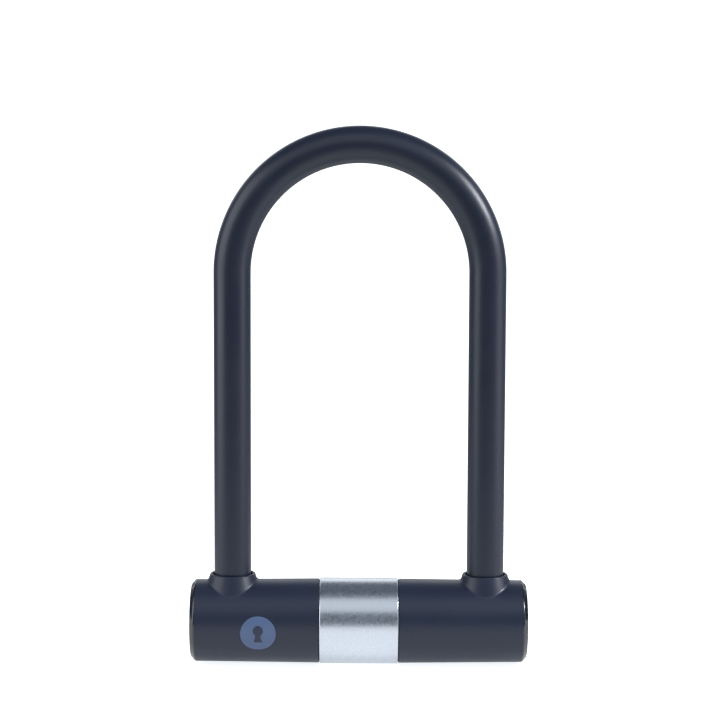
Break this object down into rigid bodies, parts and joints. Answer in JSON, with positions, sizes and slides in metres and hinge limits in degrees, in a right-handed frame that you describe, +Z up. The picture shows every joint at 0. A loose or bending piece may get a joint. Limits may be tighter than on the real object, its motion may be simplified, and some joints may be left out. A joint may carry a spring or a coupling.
{
  "type": "bicycle u lock",
  "caption": "Sleeved steel U shackle held in a round crossbar by deadbolts that a key cylinder throws, with a turning metal band over the keyhole.",
  "frame": {"origin": "under the middle of the crossbar, at the lowest point of the centre band", "axes": "+Z up, from the crossbar to the bend of the shackle; X along the crossbar; -Y towards the front; the keyhole opens towards -Z"},
  "size_m": [0.171, 0.0438, 0.2741],
  "materials": {
    "shackle_vinyl": "satin",
    "shackle_steel": "satin",
    "tube_steel": "satin",
    "cover_plastic": "satin",
    "cap_plastic": "gloss",
    "band_metal": "satin",
    "liner_plastic": "matte",
    "seal_rubber": "matte",
    "cast_block": "matte",
    "pin_steel": "satin",
    "bolt_steel": "polished",
    "cylinder_brass": "satin",
    "disc_steel": "satin",
    "guide_plastic": "matte"
  },
  "bodies": {
    "crossbar": {"crossbar_tube": "tube_steel", "left_cover": "cover_plastic", "right_cover": "cover_plastic", "left_end_cap": "cap_plastic", "right_end_cap": "cap_plastic", "left_end_plug": "pin_steel", "right_end_plug": "pin_steel", "end_plug_pins": "pin_steel", "left_grommet": "seal_rubber", "right_grommet": "seal_rubber", "left_foot_block": "cast_block", "right_foot_block": "cast_block", "foot_block_pins": "pin_steel", "left_bolt_guide": "guide_plastic", "right_bolt_guide": "guide_plastic", "cylinder_housing": "cylinder_brass", "housing_pins": "pin_steel", "left_band_seal": "seal_rubber", "right_band_seal": "seal_rubber"},
    "shackle": {"shackle_core": "shackle_steel", "shackle_sleeve": "shackle_vinyl"},
    "lock_plug": {"plug_barrel": "cylinder_brass", "plug_o_ring": "seal_rubber", "code_discs": "disc_steel", "spacer_washers": "disc_steel", "sidebar": "bolt_steel", "plug_driver": "cylinder_brass", "cam_plate": "bolt_steel", "cam_screw": "pin_steel"},
    "left_bolt": {"left_bolt_bar": "bolt_steel", "left_cam_pin": "pin_steel"},
    "right_bolt": {"right_bolt_bar": "bolt_steel", "right_cam_pin": "pin_steel"},
    "band": {"band_shell": "band_metal", "band_liner": "liner_plastic"}
  },
  "joints": [
    {"name": "shackle_lift", "type": "slide", "parent": "crossbar", "child": "shackle", "axis": [0, 0, 1], "range_m": [0, 0.08]},
    {"name": "plug_turn", "type": "hinge", "parent": "crossbar", "child": "lock_plug", "pos_m": [0, 0, 0.0219], "axis": [0, 0, 1], "range_deg": [0, 90]},
    {"name": "right_bolt_throw", "type": "slide", "parent": "crossbar", "child": "right_bolt", "axis": [1, 0, 0], "range_m": [0, 0.0042]},
    {"name": "left_bolt_throw", "type": "slide", "parent": "crossbar", "child": "left_bolt", "axis": [-1, 0, 0], "range_m": [0, 0.0042]},
    {"name": "band_turn", "type": "hinge", "parent": "crossbar", "child": "band", "pos_m": [0, 0, 0.0219], "axis": [-1, 0, 0], "range_deg": [0, 90]}
  ],
  "couplings": [
    {"joint": "plug_turn", "follows": "right_bolt_throw", "rad_per_m": 374},
    {"joint": "left_bolt_throw", "follows": "right_bolt_throw", "ratio": 1}
  ]
}
